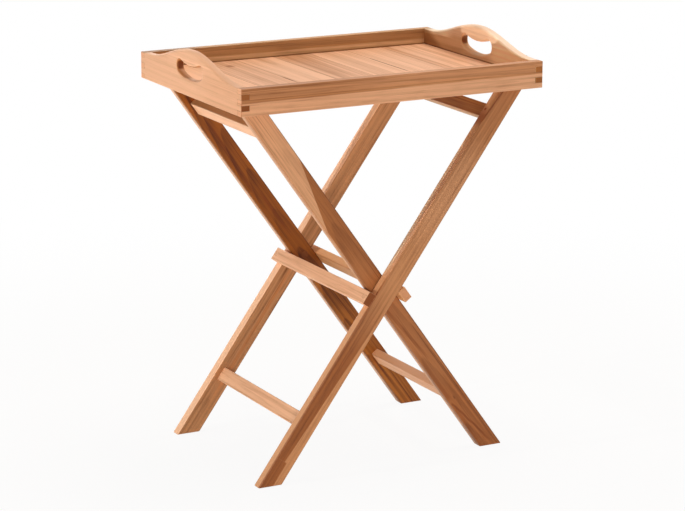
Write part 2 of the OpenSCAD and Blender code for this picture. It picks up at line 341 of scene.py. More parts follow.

# A part of a stick with another tone, such as heartwood, a flame or a dark joint, or painted light and shade.
# It lies between two slanted lines, Y = low + lowSlope * X and Y = high + highSlope * X, from start to end
# along X, and from deepStart to deepEnd along Z
markInputs = {
    "colour": (1, 1, 1, 1),
    "place": (0, 0, 0),
    "low": -1.0,
    "lowSlope": 0.0,
    "lowSoft": 0.0008,
    "high": 1.0,
    "highSlope": 0.0,
    "highSoft": 0.0008,
    "top": 1.0,  # keeps it off the stick's +Y side
    "start": -5.0,
    "startSoft": 0.004,
    "end": 5.0,
    "endSoft": 0.004,
    "deepStart": -1.0,
    "deepEnd": 1.0,
    "wave": 0.002,
    "waveScale": 9.0,
    "streaky": 0.0,
    "tone": (0.6, 0.5, 0.42, 1),
}


def makeMarkGroup():
    tree, given = startGroup("mark", markInputs, {"colour": "Color"})
    parts = addNode(tree, "ShaderNodeSeparateXYZ", {"Vector": given["place"]}).outputs
    along = parts["X"]
    wavePlace = times(tree, along, given["waveScale"])
    wave = {"W": wavePlace, "Scale": 1.0, "Detail": 2.0}
    wave = out(tree, "ShaderNodeTexNoise", wave, noise_dimensions="1D")
    shift = times(tree, minus(tree, wave, 0.5), given["wave"])
    across = minus(tree, parts["Y"], shift)

    def inside(value, edge, soft):  # 0 below the edge, 1 above it
        return fade(tree, calc(tree, "DIVIDE", minus(tree, value, edge), soft), -1.0, 1.0)

    low = timesPlus(tree, along, given["lowSlope"], given["low"])
    high = timesPlus(tree, along, given["highSlope"], given["high"])
    sharp = 0.0006
    limits = [
        inside(across, low, given["lowSoft"]), inside(high, across, given["highSoft"]),
        inside(given["top"], parts["Y"], sharp),
        inside(along, given["start"], given["startSoft"]), inside(given["end"], along, given["endSoft"]),
        inside(parts["Z"], given["deepStart"], sharp), inside(given["deepEnd"], parts["Z"], sharp),
    ]
    streak = stretchedNoise(tree, given["place"], *layers["markStreaks"])
    streak = fade(tree, streak, *levels["markStreaks"])
    share = minus(tree, 1.0, times(tree, streak, given["streaky"]))
    for limit in limits:
        share = times(tree, share, limit)
    toned = mixColour(tree, 1.0, given["colour"], given["tone"], "MULTIPLY")
    addNode(tree, "NodeGroupOutput", {"colour": mixColour(tree, share, given["colour"], toned)})
    return tree


markGroup = makeMarkGroup()


# A mark's tone, the slope of both its lines and its limits. A pair is an edge and how soft it is
def mark(tone, slope=0.0, **limits):
    values = {"tone": (*tone, 1), "lowSlope": slope, "highSlope": slope}
    for name, value in limits.items():
        if isinstance(value, tuple):
            value, values[name + "Soft"] = value
        values[name] = value
    return values


mergeReach = 0.00001  # corners nearer than this are one
flatAngle = math.radians(0.5)
sharpAngle = math.radians(20)  # edges this sharp are rounded
squareOn = 0.9999
roundSteps = 3
woodFinish = {"specular": 0.32, "relief": 0.5, "reliefDepth": 0.0002}


def mergedCopy(node):
    mesh = bmesh.new()
    mesh.from_mesh(nodes[node].data)
    mesh.edges.layers.float.new("bevel_weight_edge")
    bmesh.ops.remove_doubles(mesh, verts=mesh.verts, dist=mergeReach)
    bmesh.ops.dissolve_limit(mesh, angle_limit=flatAngle, verts=mesh.verts, edges=mesh.edges)
    mesh.normal_update()
    return mesh


# The axes of a stick: along its grain, across its wide face, and out of that face
def stickAxes(node):
    mesh = mergedCopy(node)
    longest = max(mesh.edges, key=lambda e: e.calc_length())
    along = (longest.verts[1].co - longest.verts[0].co).normalized()
    along = along if along[max(range(3), key=lambda i: abs(along[i]))] > 0 else -along
    square = 0.01
    sides = [f for f in mesh.faces if abs(f.normal.dot(along)) < square]
    sides = {f: tuple(round(abs(c), 2) for c in f.normal) for f in sides}
    areas = {}
    for face, facing in sides.items():
        areas[facing] = areas.get(facing, 0) + face.calc_area()
    widest = max(areas, key=areas.get)
    deep = next(f.normal.copy() for f, facing in sides.items() if facing == widest)
    towardsViewer = Vector((-0.3, -1.0, 0.5))
    deep = deep if deep.dot(towardsViewer) > 0 else -deep
    mesh.free()
    low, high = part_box(node)
    return (low + high) / 2, Matrix((along, deep.cross(along), deep)).transposed()


def startMaterial(name):
    made = bpy.data.materials.new(name)
    made.use_nodes = True
    return made, made.node_tree, made.node_tree.nodes["Principled BSDF"].inputs


def relief(tree, height, strength, depth):
    return out(tree, "ShaderNodeBump", {"Height": height, "Strength": strength, "Distance": depth})


def teakMaterial(name, axesOf, look, marks=()):
    centre, axes = stickAxes(axesOf)
    made, tree, shader = startMaterial(name)
    shader["Specular IOR Level"].default_value = woodFinish["specular"]
    at = addNode(tree, "ShaderNodeTexCoord").outputs
    turn = axes.to_euler()
    place = {"Vector": at["Object"], "Location": centre, "Rotation": turn}
    place = out(tree, "ShaderNodeMapping", place, vector_type="TEXTURE")
    facing = {"Vector": at["Normal"], "Rotation": turn}
    facing = out(tree, "ShaderNodeMapping", facing, vector_type="TEXTURE")
    values = {key: paint(value) if isinstance(value, str) else value for key, value in look.items()}
    inputs = {"Place": place, "Facing": facing, **values}
    wood = addNode(tree, "ShaderNodeGroup", inputs, node_tree=teakGroup).outputs
    colour = wood["Colour"]
    for limits in marks:
        inputs = {"colour": colour, "place": place, **limits}
        colour = out(tree, "ShaderNodeGroup", inputs, node_tree=markGroup)
    wire(tree, shader["Base Color"], colour)
    wire(tree, shader["Roughness"], wood["Roughness"])
    bump = relief(tree, wood["Height"], woodFinish["relief"], woodFinish["reliefDepth"])
    wire(tree, shader["Normal"], bump)
    return made


# Eased edges: a merged copy of the CAD node whose chosen edges are rounded
def isOuter(face, mesh):
    return all((v.co - face.verts[0].co).dot(face.normal) < mergeReach for v in mesh.verts)


def outerEdges(mesh):
    outer = {f for f in mesh.faces if isOuter(f, mesh)}
    return [e for e in mesh.edges if len(e.link_faces) == 2 and all(f in outer for f in e.link_faces)
            and e.calc_face_angle() > sharpAngle]


def keepResult(piece):  # swaps the modifier for the plain mesh that it makes
    bpy.context.view_layer.update()
    start = piece.data
    result = piece.evaluated_get(bpy.context.evaluated_depsgraph_get())
    result = bpy.data.meshes.new_from_object(result)
    piece.modifiers.clear()
    piece.data = result
    bpy.data.meshes.remove(start)
    result.name = piece.name


# widths gives each edge its rounding in metres, and whether it is a glue line
def easedCopy(name, mesh, widths):
    widest = max(width for width, glued in widths.values())
    weights = mesh.edges.layers.float["bevel_weight_edge"]
    gluedSpots = []
    for edge, (width, glued) in widths.items():
        edge[weights] = width / widest
        if glued:
            gluedSpots.append([v.co.copy() for v in edge.verts])
    data = bpy.data.meshes.new(name)
    mesh.to_mesh(data)
    mesh.free()
    data.materials.append(None)
    data.materials.append(None)  # the slot of the rounded faces
    piece = addObject(name, data)
    bevel = piece.modifiers.new("ease", "BEVEL")
    bevel.limit_method = "WEIGHT"
    bevel.width = widest
    bevel.segments = roundSteps
    bevel.use_clamp_overlap = False
    bevel.material = 1
    keepResult(piece)
    markFaces(piece.data, gluedSpots)
    return piece


# Rounded faces carry ease or seam, and only they and curved faces shade smooth
def markFaces(data, gluedSpots):
    glueReach = 0.0009
    largestCurved = 0.0004
    ease = data.attributes.new("ease", "FLOAT", "FACE")
    seam = data.attributes.new("seam", "FLOAT", "FACE")
    for face in data.polygons:
        rounded = face.material_index == 1
        glued = rounded and any(nearLine(face.center, a, b) < glueReach for a, b in gluedSpots)
        ease.data[face.index].value = float(rounded and not glued)
        seam.data[face.index].value = float(glued)
        tilted = max(abs(c) for c in face.normal) < squareOn
        face.use_smooth = rounded or tilted and face.area < largestCurved
        face.material_index = 0
    while len(data.materials) > 1:
        data.materials.pop()


def nearLine(point, a, b):
    run = b - a
    share = max(0.0, min(1.0, (point - a).dot(run) / run.length_squared))
    return (point - a - run * share).length


def finishPiece(piece, body, slot, material, *replaced):
    piece.data.materials.clear()
    piece.data.materials.append(material)
    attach(piece, body)
    if replaced:
        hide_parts(*replaced)


def makeEased(stick, mesh, widths):  # outer_front_leg gets a piece named outerFrontLeg
    first, *others = stick["node"].split("_")
    name = stick.get("name", first + "".join(other.capitalize() for other in others))
    piece = easedCopy(name, mesh, widths)
    material = teakMaterial(name, stick["node"], stick["look"], stick["marks"])
    finishPiece(piece, stick["body"], stick["slot"], material, stick["node"])


def makeStick(stick):
    mesh = mergedCopy(stick["node"])
    floorLevel = 0.0001
    widths = {}
    for edge in outerEdges(mesh):
        onFloor = all(v.co.z < floorLevel for v in edge.verts)
        widths[edge] = (stick.get("footEase", stick["ease"]) if onFloor else stick["ease"], False)
    makeEased(stick, mesh, widths)


# Tray boards: eased outside, with fine glue lines round the fingers of the corner joints
trayLow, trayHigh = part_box("front_board")[0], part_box("rear_board")[1]
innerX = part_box("right_handle_board")[0].x
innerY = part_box("rear_board")[0].y
boards = {
    "ease": 0.0012,
    "crownEase": 0.0045,
    "holeEase": 0.004,
    "glueLine": 0.00035,
    "crownStart": 0.01,  # from a handle board's end to where its top edge begins to round more
    "crownRun": 0.06,
    "holeReach": 0.08,  # the hand hole lies nearer than this to the middle
}
slack = {"same": 0.00015, "corner": 0.0002, "cut": 0.0001, "top": 0.00005, "groove": 0.0003}


def near(value, target):
    return abs(value - target) < slack["same"]


# The rounding of one edge of a tray board, by where it lies, or None
def boardEdge(edge):
    a, b = (v.co for v in edge.verts)
    middle = (a + b) / 2
    if edge.calc_face_angle() < sharpAngle:
        return None
    endFace = near(abs(a.x), trayHigh.x) and near(abs(b.x), trayHigh.x)
    sideFace = near(abs(a.y), trayHigh.y) and near(abs(b.y), trayHigh.y)
    level = near(a.z, b.z)
    topOrBottom = level and (near(a.z, trayHigh.z) or near(a.z, trayLow.z))
    inCorner = abs(middle.x) > innerX - slack["corner"] and abs(middle.y) > innerY - slack["corner"]
    if topOrBottom and (endFace or sideFace) or endFace and sideFace and not level:
        return (boards["ease"], False)
    if topOrBottom and not inCorner:
        return (boards["ease"], False)
    if inCorner and (endFace or sideFace or topOrBottom):
        return (boards["glueLine"], True)
    return None


def cutAtCorners(mesh):  # so that a long board's edges can change where its fingers begin
    for side in (-1, 1):
        whole = mesh.verts[:] + mesh.edges[:] + mesh.faces[:]
        cut = Vector((side * (innerX - slack["cut"]), 0, 0))
        bmesh.ops.bisect_plane(mesh, geom=whole, plane_co=cut, plane_no=(1, 0, 0), dist=2 * mergeReach)
    mesh.normal_update()


def handleEdge(edge):
    a, b = (v.co for v in edge.verts)
    middle = (a + b) / 2
    onFace = near(a.x, b.x) and (near(abs(a.x), innerX) or near(abs(a.x), trayHigh.x))
    if edge.calc_face_angle() < sharpAngle:
        return None
    if onFace and min(a.z, b.z) > trayHigh.z - slack["top"] and abs(middle.y) < innerY - slack["cut"]:
        grown = (innerY - boards["crownStart"] - abs(middle.y)) / boards["crownRun"]
        return (boards["ease"] + (boards["crownEase"] - boards["ease"]) * max(0.0, min(1.0, grown)), False)
    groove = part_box("slat_1")[1].z + slack["groove"]
    if onFace and abs(middle.y) < boards["holeReach"] and min(a.z, b.z) > groove:
        return (boards["holeEase"], False)
    return boardEdge(edge)


def makeBoard(board, rounding):
    mesh = mergedCopy(board["node"])
    if rounding is boardEdge:
        cutAtCorners(mesh)
    chosen = {e: rounding(e) for e in mesh.edges if len(e.link_faces) == 2}
    widths = {e: width for e, width in chosen.items() if width}
    makeEased(board, mesh, widths)


# The top of the floor from mid board, and where the rounding at a long board's end begins
floorLine = (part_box("slat_1")[1].z - trayLow.z) - (trayHigh.z - trayLow.z) / 2
boardFace = trayHigh.x - boards["ease"]
palm = {"Streaks": 0.3, "Rings": 0.2, "Lines": 0.25, "Flecks": 0.16}  # the calmer grain of the handle boards
longBoard = {"body": "tray", "slot": "teak_board"}
frontBoard = {
    **longBoard, "node": "front_board",
    "look": {"Seed": 2.0, "Pale": "fac49d", "Brown": "a56f48", "Streaks": 0.4, "Rings": 0.35,
        "End Tone": (0.92, 0.86, 0.82, 1)},
    "marks": [
        # painted shade along the front-left corner of the outer face
        mark((0.72, 0.6, 0.5), end=(-0.3086, 0.0003), deepStart=0.0066),
        mark((0.68, 0.555, 0.41), low=0.0002, slope=0.004, start=(-boardFace, 0.0006), wave=0.003,
            streaky=0.2),
        mark((0.81, 0.755, 0.67), low=0.0002, slope=0.004, start=(-boardFace, 0.0006), end=(-0.06, 0.1),
            wave=0.003),
        mark((0.86, 0.81, 0.76), high=0.0002, slope=0.004, end=(-0.06, 0.12), streaky=0.25),
        mark((0.72, 0.62, 0.52), low=-0.0006, high=0.0006, slope=0.004, end=(-0.12, 0.08), wave=0.003),
        mark((0.72, 0.62, 0.52), low=0.0205, high=0.0216, streaky=0.6),
        mark((0.74, 0.64, 0.54), low=0.012, high=0.0134, streaky=0.6),
    ],
}
rearBoard = {
    **longBoard, "node": "rear_board",
    "look": {"Seed": 5.0, "Pale": "f4cea0", "Brown": "a2774a", "Streaks": 0.45, "Rings": 0.4,
        "End Tone": (0.98, 0.75, 0.76, 1)},
    "marks": [
        mark((0.68, 0.52, 0.37), low=(0.006, 0.0012), start=(-boardFace, 0.0006), wave=0.003, streaky=0.3),
        # painted shade along the floor line of the inner face
        mark((0.5, 0.38, 0.28), low=floorLine - 0.001, high=floorLine + 0.0022, deepStart=0.007),
        mark((0.97, 0.8, 0.76), deepEnd=-0.0062),
        # painted shadow of the left handle's crown on the top at the left end
        mark((0.6, 0.55, 0.5), low=0.0238, end=(-0.2, 0.02), wave=0.0),
    ],
}
makeBoard(frontBoard, boardEdge)
makeBoard(rearBoard, boardEdge)

crownRise = (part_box("left_handle_board")[1].z - trayHigh.z) / 2
contactDepth = crownRise - floorLine
# painted shade along the floor line, where the slats meet a handle board
paintedContactShade = {"tone": (0.5, 0.38, 0.28), "low": contactDepth - 0.0022, "high": contactDepth + 0.001}
# the walls of a hand hole, where light and shade are painted
holeWallLightAndShade = {"low": -0.022, "high": 0.011, "start": -0.075, "end": 0.075, "deepStart": -0.007,
    "deepEnd": 0.007, "wave": 0.0}
upperFinger = {"low": 0.0025, "high": 0.0125, "end": (-0.214, 0.0003), "wave": 0.0}
lowerFinger = {**upperFinger, "low": 0.0225, "high": 0.0325}
handleBoard = {"body": "tray", "slot": "teak_handle"}
leftHandleBoard = {
    **handleBoard, "node": "left_handle_board",
    "look": {**palm, "Seed": 8.0, "Pale": "eab58e", "Brown": "be8962", "End Tone": (0.34, 0.20, 0.09, 1)},
    "marks": [
        # painted shade along the floor line
        mark(**paintedContactShade, deepEnd=-0.007),
        # painted shade on the hand hole's walls
        mark((0.66, 0.49, 0.27), **holeWallLightAndShade),
        mark((1.22, 1.25, 1.15), **upperFinger),
        mark((0.92, 0.8, 0.55), **lowerFinger),
        mark((0.955, 0.93, 0.9), end=(-0.06, 0.04), deepStart=0.006),
        # painted light: the crown a little lighter
        mark((1.05, 1.06, 1.08), high=(-0.018, 0.006)),
        # painted shade along the front-left corner of the outer face
        mark((0.72, 0.6, 0.5), end=(-0.2136, 0.0003), deepStart=0.0066),
    ],
}
rightHandleBoard = {
    **handleBoard, "node": "right_handle_board",
    "look": {**palm, "Seed": 11.0, "Pale": "ecbf92", "Brown": "b28357", "End Tone": (0.34, 0.19, 0.086, 1)},
    "marks": [
        # painted shade along the floor line
        mark(**paintedContactShade, deepStart=0.007),
        # painted light on the hand hole's walls
        mark((1.12, 1.02, 0.86), **holeWallLightAndShade),
        mark((1.5, 1.6, 1.7), **upperFinger),
        mark((1.2, 1.25, 1.25), **lowerFinger),
        # painted light: the patch above the hand hole lighter
        mark((1.22, 1.34, 1.58), high=(-0.012, 0.005), start=(-0.055, 0.01), end=(0.1, 0.02)),
        # painted light: the top edge of the front part lighter
        mark((1.3, 1.36, 1.58), high=(-0.003, 0.005), end=(-0.055, 0.01), deepEnd=0.0055),
        # painted light: the inner face's front part lighter above a slanted shadow line
        mark((1.06, 1.1, 1.22), high=(-0.0075, 0.0015), slope=0.045, end=(-0.055, 0.01), deepStart=0.0055,
            wave=0.001),
        # painted light: the inner face's front part lighter
        mark((1.22, 1.4, 1.52), end=(-0.055, 0.02), deepStart=0.0055),
        # painted light: the upper part of the rear half lighter, above a slanted line
        mark((1.4, 1.75, 2.2), high=(-0.0101, 0.002), slope=0.05, start=(0.1, 0.02)),
        mark((0.94, 1.0, 1.12), high=-0.0065, deepStart=-0.0068, deepEnd=0.0068),
        mark((1.13, 1.16, 1.22), end=(-0.05, 0.04)),
        # painted shade: the lower rear part darker
        mark((0.8, 0.73, 0.66), low=(0.01, 0.006), start=(0.05, 0.03), streaky=0.3),
        # painted shade in the rear corner
        mark((0.6, 0.48, 0.36), low=(0.0925, 0.01), slope=-0.55, wave=0.004),
    ],
}
makeBoard(leftHandleBoard, handleEdge)
makeBoard(rightHandleBoard, handleEdge)
print("tray boards made")

# Legs
outerLeg = {"body": "outer_frame", "slot": "teak_leg", "ease": 0.0012, "footEase": 0.0022}
innerLeg = {**outerLeg, "body": "inner_frame"}
legSide = 0.0179  # where the rounding of a leg's narrow left side begins
narrowLeg = {"low": legSide, "wave": 0.0}
outerFrontLeg = {
    **outerLeg, "node": "outer_front_leg",
    "look": {"Seed": 14.0, "Pale": "e1a97d", "Brown": "76401a", "Streaks": 0.26, "Rings": 0.2, "Lines": 0.3},
    "marks": [
        mark((0.57, 0.395, 0.225), low=-0.0172, slope=-0.0473, top=legSide, start=(-0.385, 0.0015),
            end=(-0.08, 0.1)),
        mark((0.57, 0.395, 0.225), low=-0.004, top=legSide, end=(-0.385, 0.0015)),
        mark((1.08, 1.1, 1.12), high=-0.0172, slope=-0.0473, end=(-0.2, 0.06)),
        mark((0.62, 0.42, 0.3), low=0.044, high=0.0462, slope=-0.0754, start=0.25, end=0.42, wave=0.001),
        # painted shadow of the tray: the upper front face darker
        mark((0.8, 0.69, 0.55), top=legSide, start=(0.29, 0.05)),
        mark((0.94, 0.88, 0.78), top=legSide, end=(0.1, 0.06)),
        # painted shade on the front arris of the narrow side
        mark((0.76, 0.68, 0.6), low=0.0165, deepStart=0.0088, wave=0.0),
        mark((1.11, 1.1, 1.04), **narrowLeg, end=(0.02, 0.03)),
        mark((0.52, 0.36, 0.22), **narrowLeg, end=(0.0, 0.03), deepStart=0.006),
        # painted light: the rear half of the narrow side lighter
        mark((1.4, 1.9, 2.4), **narrowLeg, start=(0.02, 0.03), end=(0.29, 0.02), deepEnd=-0.001),
        # painted shadow of the tray on the upper narrow side
        mark((0.84, 0.84, 0.78), **narrowLeg, start=(0.29, 0.02)),
    ],
}
outerRearLeg = {
    **outerLeg, "node": "outer_rear_leg",
    "look": {"Seed": 17.0, "Pale": "d9a273", "Brown": "77441d", "Streaks": 0.3, "Rings": 0.25, "Lines": 0.35},
    "marks": [
        mark((0.98, 0.76, 0.55), low=(-0.006, 0.002), high=(0.001, 0.002), slope=0.01,
            start=(-0.36, 0.05), end=(-0.06, 0.05), streaky=0.4),
        mark((1.68, 2.0, 2.65), **narrowLeg),
        # painted light: the narrow side lighter near the tray
        mark((1.38, 1.55, 1.55), **narrowLeg, start=(0.29, 0.07)),
    ],
}
innerFrontLeg = {
    **innerLeg, "node": "inner_front_leg",
    "look": {"Seed": 20.6, "Pith": (0, 0.006, -0.05), "Pith Tilt": 0.03, "Ring Width": 0.005,
        "Pale": "e6b188", "Brown": "81502a", "Streaks": 0.34, "Rings": 0.35,
        "Knot": (-0.302, 0.004, 0.010), "Knot Size": 0.012},
    "marks": [
        mark((0.6, 0.43, 0.27), high=0.0521, slope=-0.2405, top=legSide),
        mark((0.87, 0.81, 0.7), high=0.0521, slope=-0.2405, top=legSide, start=(0.08, 0.05)),
        mark((0.96, 0.87, 0.72), top=legSide, end=(-0.26, 0.03)),
        mark((0.7, 0.58, 0.46), low=(0.0153, 0.0015), high=0.0213, slope=0.086, top=legSide,
            start=(-0.19, 0.03), end=(-0.03, 0.02), streaky=0.3),
        mark((0.72, 0.6, 0.48), low=(0.01, 0.002), top=legSide, start=(-0.3, 0.01), end=(-0.18, 0.04),
            streaky=0.3),
        mark((0.66, 0.52, 0.4), low=0.0625, high=0.0665, slope=0.163, top=legSide, start=(-0.42, 0.02),
            end=-0.308, wave=0.004, waveScale=30.0),
        mark((0.76, 0.64, 0.5), low=(0.008, 0.003), slope=-0.01, top=legSide, end=(-0.318, 0.01),
            streaky=0.35),
        mark((0.98, 0.97, 0.94), **narrowLeg),
        mark((0.5, 0.36, 0.24), **narrowLeg, end=(0.08, 0.05), deepStart=0.001),
        mark((0.74, 0.62, 0.5), **narrowLeg, start=(0.08, 0.05), deepStart=0.001),
        mark((1.0, 1.08, 1.16), **narrowLeg, deepEnd=-0.003),
        # painted shade along the right arris
        mark((0.62, 0.54, 0.46), high=(-0.0176, 0.0004), wave=0.0),
    ],
}
innerRearLeg = {
    **innerLeg, "node": "inner_rear_leg",
    "look": {"Seed": 23.0, "Pale": "eab78f", "Brown": "8a5832", "Streaks": 0.45, "Rings": 0.7,
        "Pith": (0, 0.002, -0.035), "Pith Tilt": 0.045, "Ring Width": 0.0045},
    "marks": [
        # dark teak, deepened with painted shade, on all but the rear half of the narrow side
        mark((0.39, 0.204, 0.032), deepStart=0.004, wave=0.0),
        mark((0.39, 0.204, 0.032), top=legSide, deepEnd=0.004, wave=0.0),
        mark((0.72, 0.58, 0.44), low=(0.0138, 0.002), high=(0.0218, 0.002), slope=-0.047, top=legSide,
            start=(0.15, 0.03), end=(0.33, 0.02), streaky=0.3),
        mark((0.72, 0.58, 0.44), low=(-0.004, 0.002), high=(0.003, 0.002), start=(0.04, 0.03),
            end=(0.14, 0.02)),
        mark((1.4, 1.62, 2.7), top=legSide, end=(-0.1, 0.12)),
        mark((1.05, 1.3, 3.0), low=(0.0172, 0.0012), deepStart=0.004, wave=0.0),
        mark((1.12, 1.28, 1.48), **narrowLeg, deepEnd=-0.003),
        # painted shade along the right arris
        mark((0.6, 0.5, 0.42), high=(-0.0176, 0.0004), wave=0.0),
    ],
}
for leg in (outerFrontLeg, outerRearLeg, innerFrontLeg, innerRearLeg):
    makeStick(leg)
print("legs made")

# Rails, stretchers and stop bars
outerRail = {"body": "outer_frame", "slot": "teak_rail", "ease": 0.0012}
innerRail = {**outerRail, "body": "inner_frame"}
railSide = 0.0125  # where the rounding of a rail's narrow side begins
narrowRail = {"low": railSide, "wave": 0.0}
railTeak = {"Pale": "fecca5", "Brown": "bf8860", "Streaks": 0.24, "Rings": 0.22,
    "End Tone": (0.27, 0.13, 0.046, 1)}
outerTopRail = {
    **outerRail, "node": "outer_top_rail",
    # dark look: painted shade from the tray above
    "look": {"Seed": 26.0, "Pale": "a86f37", "Brown": "703c13", "Streaks": 0.5, "Rings": 0.4},
    # painted light: the narrow lower side made light again, as lit
    "marks": [mark((2.1, 3.0, 5.2), **narrowRail)],
}
outerStretcher = {
    **outerRail, "node": "outer_stretcher",
    "look": {**railTeak, "Seed": 29.0},
    "marks": [mark((1.0, 0.96, 0.91))],
}
outerStopBar = {
    **outerRail, "node": "outer_stop_bar",
    "look": {**railTeak, "Seed": 32.0},
    "marks": [mark((1.0, 0.97, 0.93))],
}
innerTopRail = {
    **innerRail, "node": "inner_top_rail",
    "look": {**railTeak, "Seed": 35.0},
    # painted shade from the tray on the rail's narrow upper side
    "marks": [mark((0.41, 0.34, 0.23), **narrowRail)],
}
innerStretcher = {
    **innerRail, "node": "inner_stretcher",
    "look": {**railTeak, "Seed": 38.0},
    "marks": [mark((0.7, 0.61, 0.52), **narrowRail), mark((0.94, 0.89, 0.82), high=railSide, wave=0.0)],
}
innerStopBar = {
    **innerRail, "node": "inner_stop_bar",
    "look": {**railTeak, "Seed": 41.0, "End Tone": (0.76, 0.66, 0.72, 1)},
    "marks": [mark((1.06, 1.03, 0.82))],
}
for rail in (outerTopRail, outerStretcher, outerStopBar, innerTopRail, innerStretcher, innerStopBar):
    makeStick(rail)
print("rails made")

# Floor of the tray: the end slats are eased copies, the equal slats between them a Geometry Nodes row
slatTeak = {"Pale": "f3bc94", "Brown": "ae754a", "Streaks": 0.44, "Rings": 0.3, "Slat Spread": 0.3,
    "Side Dark": 0.4, "Fineness": 0.4, "Streak Rough": 0.55, "Lines": 0.2, "Flecks": 0.12}
endSlat = {"body": "tray", "slot": "teak_slat", "ease": 0.0004}
firstSlat = {
    **endSlat, "name": "firstSlat", "node": "slat_1",
    "look": {**slatTeak, "Seed": 44.0, "Rings": 0.22, "Ring Width": 0.009},
    "marks": [mark((1.07, 1.07, 1.05))],
}
lastSlat = {
    **endSlat, "name": "lastSlat", "node": "slat_7",
    "look": {**slatTeak, "Seed": 47.0},
    "marks": [mark((0.78, 0.68, 0.56), low=(0.036, 0.003), high=(0.049, 0.003), streaky=0.6)],
}
makeStick(firstSlat)
makeStick(lastSlat)
middleSlats = {
    "nodes": ["slat_2", "slat_3", "slat_4", "slat_5", "slat_6"],
    "ease": endSlat["ease"],
    "look": {**slatTeak, "Seed": 50.0},
    "marks": [
        mark((0.78, 0.69, 0.58), low=(-0.0128, 0.003), lowSlope=-0.054, high=(0.0282, 0.004),
            highSlope=0.0162, start=(-0.04, 0.05), wave=0.006, streaky=0.45),
        mark((0.9, 0.84, 0.77), low=(-0.0128, 0.004), lowSlope=-0.054, high=(0.0282, 0.004),
            highSlope=0.0162, start=(0.1, 0.07), streaky=0.5),
        mark((0.34, 0.22, 0.13), low=-0.1198, high=-0.1172, start=(-0.045, 0.01), end=(0.1, 0.01), wave=0.0),
        mark((0.62, 0.48, 0.36), low=-0.1984, high=-0.1958, start=(-0.037, 0.02), end=(0.178, 0.02),
            wave=0.0),
        mark((0.52, 0.38, 0.27), low=0.1168, high=0.1205, start=(-0.045, 0.012), end=(0.002, 0.012),
            wave=0.0),
        mark((0.58, 0.45, 0.34), low=(0.15, 0.004), high=(0.164, 0.004), start=(0.138, 0.006),
            end=(0.156, 0.006)),
    ],
}


def geometryTree(name, sockets):
    tree = bpy.data.node_groups.new(name, "GeometryNodeTree")
    addSocket(tree, "Geometry", "Geometry")
    ids = {label: addSocket(tree, label, kind).identifier for label, kind in sockets.items()}
    addSocket(tree, "Geometry", "Geometry", "OUTPUT")
    return tree, ids, addNode(tree, "NodeGroupInput").outputs


def endTree(tree, shape, material):  # every tree ends in plain geometry with its material
    plain = out(tree, "GeometryNodeRealizeInstances", {"Geometry": shape})
    coated = out(tree, "GeometryNodeSetMaterial", {"Geometry": plain, "Material": material})
    addNode(tree, "NodeGroupOutput", {0: coated})


def grow(name, start, tree, ids, values):  # runs a tree on a start mesh and keeps its result as a plain mesh
    holder = addObject(name, start)
    modifier = holder.modifiers.new("grow", "NODES")
    modifier.node_group = tree
    for label, value in values.items():
        modifier[ids[label]] = value
    keepResult(holder)
    return holder


def makeSlatTree():
    tree, ids, given = geometryTree("slatRow", {"Count": "Int", "Start": "Vector", "Pitch": "Float",
        "Width": "Float", "Length": "Float", "Thickness": "Float", "Ease": "Float", "Material": "Material"})
    outline = out(tree, "GeometryNodeCurvePrimitiveQuadrilateral",
        {"Width": given["Width"], "Height": given["Thickness"]})
    soft = {"Curve": outline, "Radius": given["Ease"], "Count": roundSteps}
    soft = out(tree, "GeometryNodeFilletCurve", soft, mode="POLY")
    half = times(tree, given["Length"], 0.5)
    front = xyz(tree, 0.0, times(tree, half, -1.0), 0.0)
    rear = xyz(tree, 0.0, half, 0.0)
    path = out(tree, "GeometryNodeCurvePrimitiveLine", {"Start": front, "End": rear})
    slat = out(tree, "GeometryNodeCurveToMesh", {"Curve": path, "Profile Curve": soft, "Fill Caps": True})
    step = xyz(tree, given["Pitch"], 0.0, 0.0)
    row = out(tree, "GeometryNodeMeshLine",
        {"Count": given["Count"], "Start Location": given["Start"], "Offset": step})
    placed = out(tree, "GeometryNodeInstanceOnPoints", {"Points": row, "Instance": slat})
    number = out(tree, "GeometryNodeInputIndex")
    marked = {"Geometry": placed, "Name": "slat", "Value": number}
    marked = out(tree, "GeometryNodeStoreNamedAttribute", marked, data_type="FLOAT", domain="INSTANCE")
    endTree(tree, marked, given["Material"])
    return tree, ids


def makeMiddleSlats():
    names = middleSlats["nodes"]
    low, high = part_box(names[0])
    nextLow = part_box(names[1])[0]
    size = high - low
    tree, ids = makeSlatTree()
    material = teakMaterial("middleSlats", names[2], middleSlats["look"], middleSlats["marks"])
    piece = grow("middleSlats", bpy.data.meshes.new("slatStart"), tree, ids, {
        "Count": len(names), "Start": (low + high) / 2, "Pitch": nextLow.x - low.x, "Width": size.x,
        "Length": size.y, "Thickness": size.z, "Ease": middleSlats["ease"], "Material": material})
    for face in piece.data.polygons:
        face.use_smooth = max(abs(c) for c in face.normal) < squareOn
    finishPiece(piece, "tray", "teak_slat", material, *names)


makeMiddleSlats()
print("tray floor made")

# Plugs and pegs: chamfered rounds set at places taken from the frame
plugs = {"chamfer": 0.0003, "sides": 40}
plugTeak = {"Streaks": 0.4, "Rings": 0.4, "Ring Width": 0.0012, "Pith": (0, 0.01, 0.02)}


